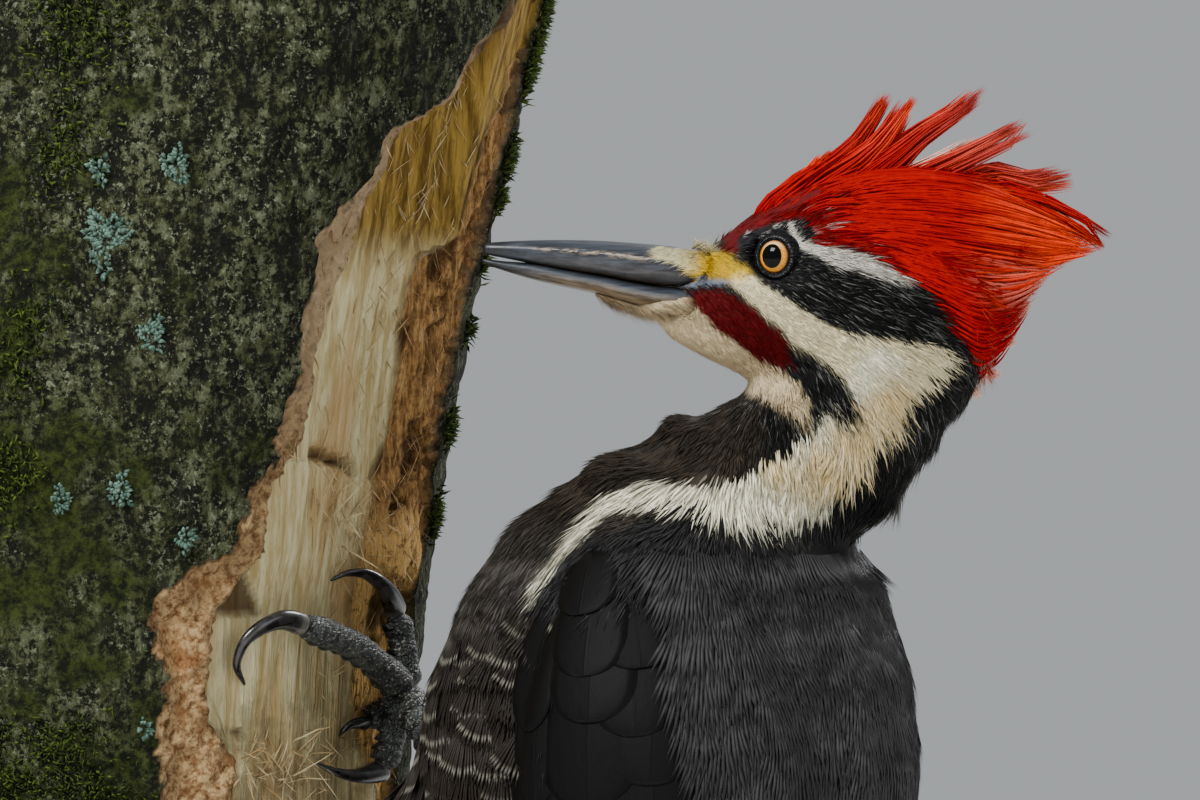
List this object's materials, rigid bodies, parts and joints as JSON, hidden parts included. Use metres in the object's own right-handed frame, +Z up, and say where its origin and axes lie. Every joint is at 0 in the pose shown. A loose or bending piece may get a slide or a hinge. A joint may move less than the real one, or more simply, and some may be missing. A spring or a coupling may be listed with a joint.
{
  "type": "pileated woodpecker",
  "caption": "Male pileated woodpecker, life-size still model, clinging to a cut length of trunk with its head turned in profile, on a plain display stand.",
  "frame": {"origin": "the centre of the flat underside of the stand's base", "axes": "+Z up. The trunk stands over the origin, the bird clings to its +X side, its bill points to -X and the -Y side is the bird's left, which the picture shows"},
  "size_m": [0.3724, 0.2265, 0.488],
  "materials": {
    "black_plumage": "brown-black feathers with fine barbs and a soft grey edge",
    "white_plumage": "cream-white feathers of the face and neck stripe, with black, yellow and crimson markings",
    "red_plumage": "scarlet crest feathers, deep red in front and orange at the tips",
    "horn": "slate-grey horn, smooth, paler and browner below",
    "eye": "wet amber iris round a black pupil",
    "scales": "rough grey-green scales",
    "claw_horn": "glossy brown-black horn",
    "bark": "olive-grey bark with moss and lichen, and pale fresh wood where the bird has dug",
    "stand_wood": "oiled brown wood, satin",
    "stand_metal": "fine brushed grey steel"
  },
  "bodies": {
    "root": {"head": "white_plumage", "neck": "white_plumage", "torso": "black_plumage", "crest": "red_plumage", "bill_upper": "horn", "bill_lower": "horn", "eye_left": "eye", "wing_left": "black_plumage", "thigh_left": "black_plumage", "shank_left": "scales", "toe_outer_front_left": "scales", "toe_inner_front_left": "scales", "toe_outer_back_left": "scales", "toe_hallux_left": "scales", "claw_outer_front_left": "claw_horn", "claw_inner_front_left": "claw_horn", "claw_outer_back_left": "claw_horn", "claw_hallux_left": "claw_horn", "eye_right": "eye", "wing_right": "black_plumage", "thigh_right": "black_plumage", "shank_right": "scales", "toe_outer_front_right": "scales", "toe_inner_front_right": "scales", "toe_outer_back_right": "scales", "toe_hallux_right": "scales", "claw_outer_front_right": "claw_horn", "claw_inner_front_right": "claw_horn", "claw_outer_back_right": "claw_horn", "claw_hallux_right": "claw_horn", "tail": "black_plumage", "perch_log": "bark", "stand_base": "stand_wood", "stand_rod_a": "stand_metal", "stand_rod_b": "stand_metal"}
  },
  "joints": []
}
